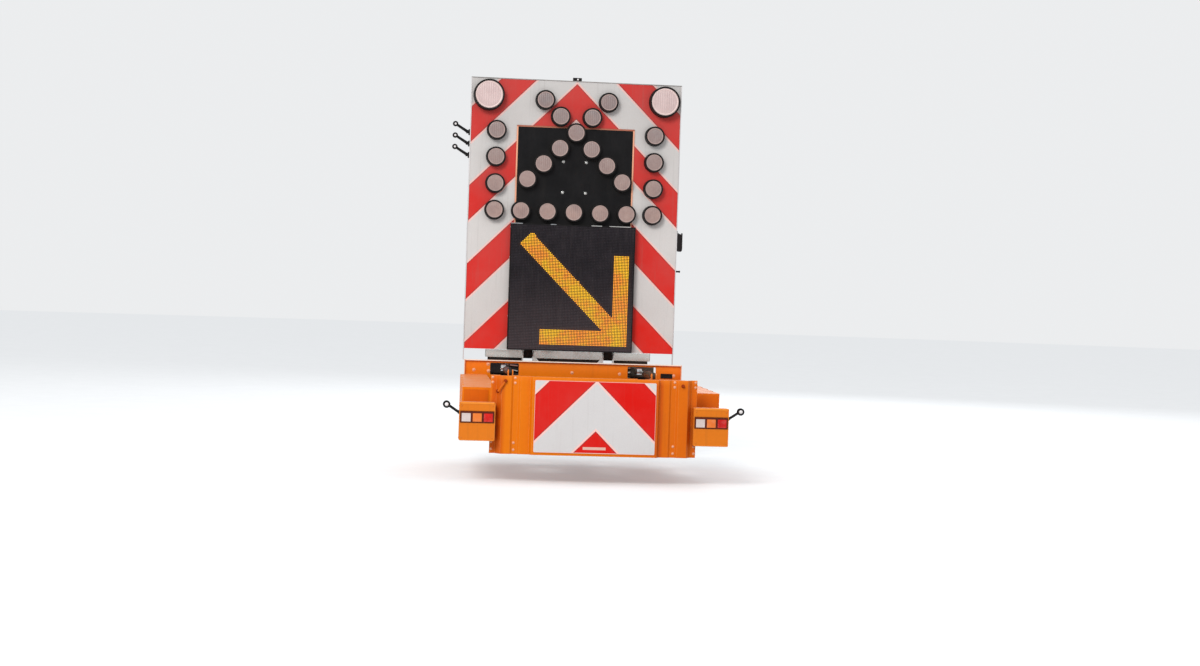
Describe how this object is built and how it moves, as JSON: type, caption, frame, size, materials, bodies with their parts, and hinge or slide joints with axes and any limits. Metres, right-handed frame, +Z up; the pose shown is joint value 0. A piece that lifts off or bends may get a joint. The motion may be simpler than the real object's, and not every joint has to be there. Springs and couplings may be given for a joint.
{
  "type": "truck-mounted warning board with crash cushion",
  "caption": "Rear-mounted road-works unit: a striped warning board with arrow lamps and a matrix display that folds forward, above an orange crash cushion that folds up.",
  "frame": {"origin": "centre of the flat face of the mounting plate that bolts to the truck's chassis", "axes": "+X across the road to the right as seen from behind, +Y forward towards the truck, +Z up"},
  "size_m": [2.768, 2.858, 3.724],
  "materials": {
    "galvanised": "satin",
    "grey_steel": "satin",
    "orange_steel": "satin",
    "board_stripes": "retroreflective film",
    "chevron_stripes": "retroreflective film",
    "panel_black": "matte",
    "trim_orange": "satin",
    "display_black": "matte",
    "display_dots": "matte",
    "lamp_black": "matte",
    "lens_mauve": "ribbed",
    "lens_pale": "ribbed",
    "lens_white": "ribbed",
    "lens_amber": "ribbed",
    "lens_red": "ribbed",
    "aluminium": "mill",
    "rod_chrome": "polished",
    "pin_steel": "satin",
    "black_rubber": "matte",
    "latch_black": "matte"
  },
  "bodies": {
    "base": {"mount_plate": "grey_steel", "base_crossbeam": "galvanised", "base_arm_left": "grey_steel", "base_arm_right": "grey_steel", "base_gussets": "grey_steel", "anchor_arms": "grey_steel", "hinge_cheeks": "galvanised", "hinge_beam": "galvanised", "hinge_pins": "pin_steel"},
    "board": {"board_sheet": "board_stripes", "edge_frame": "aluminium", "crossbars_back": "galvanised", "uprights": "galvanised", "board_arms": "grey_steel", "lamp_panel": "panel_black", "panel_trim": "trim_orange", "display_housing": "display_black", "display_face": "display_dots", "flashers": "lamp_black", "flasher_lenses": "lens_pale", "arrow_lamps": "lamp_black", "arrow_lenses": "lens_mauve", "light_sensor": "lamp_black", "eye_arms": "black_rubber", "side_latch": "latch_black"},
    "cushion": {"front_plate": "orange_steel", "cushion_lugs": "orange_steel", "beam_left": "orange_steel", "beam_right": "orange_steel", "cross_plates": "orange_steel", "absorbers": "aluminium", "barrel_brackets": "orange_steel", "rear_plate": "orange_steel", "chevron_panel": "chevron_stripes", "lamp_box_left": "orange_steel", "lamp_box_right": "orange_steel", "lenses_white": "lens_white", "lenses_amber": "lens_amber", "lenses_red": "lens_red", "marker_arms": "black_rubber", "marker_lenses": "lens_white"},
    "barrel_l": {"barrel_left": "grey_steel"},
    "barrel_r": {"barrel_right": "grey_steel"},
    "rod_l": {"rod_left": "rod_chrome"},
    "rod_r": {"rod_right": "rod_chrome"}
  },
  "joints": [
    {"name": "board_tilt", "type": "hinge", "parent": "base", "child": "board", "pos_m": [0, -0.06, 0.275], "axis": [-1, 0, 0], "range_deg": [0, 90]},
    {"name": "cushion_fold", "type": "hinge", "parent": "base", "child": "cushion", "pos_m": [0, -0.5, 0], "axis": [-1, 0, 0], "range_deg": [0, 90]},
    {"name": "barrel_swing_left", "type": "hinge", "parent": "cushion", "child": "barrel_l", "pos_m": [-0.7, -1.6, 0.14], "axis": [-1, 0, 0], "range_deg": [0, 8.3]},
    {"name": "rod_slide_left", "type": "slide", "parent": "barrel_l", "child": "rod_l", "axis": [0, -1, 0], "range_m": [0, 0.13]},
    {"name": "barrel_swing_right", "type": "hinge", "parent": "cushion", "child": "barrel_r", "pos_m": [0.7, -1.6, 0.14], "axis": [-1, 0, 0], "range_deg": [0, 8.3]},
    {"name": "rod_slide_right", "type": "slide", "parent": "barrel_r", "child": "rod_r", "axis": [0, -1, 0], "range_m": [0, 0.13]}
  ],
  "couplings": [
    {"joint": "barrel_swing_left", "follows": "cushion_fold", "ratio": 0.09219},
    {"joint": "rod_slide_left", "follows": "cushion_fold", "m_per_rad": 0.08267},
    {"joint": "barrel_swing_right", "follows": "cushion_fold", "ratio": 0.09219},
    {"joint": "rod_slide_right", "follows": "cushion_fold", "m_per_rad": 0.08267}
  ]
}
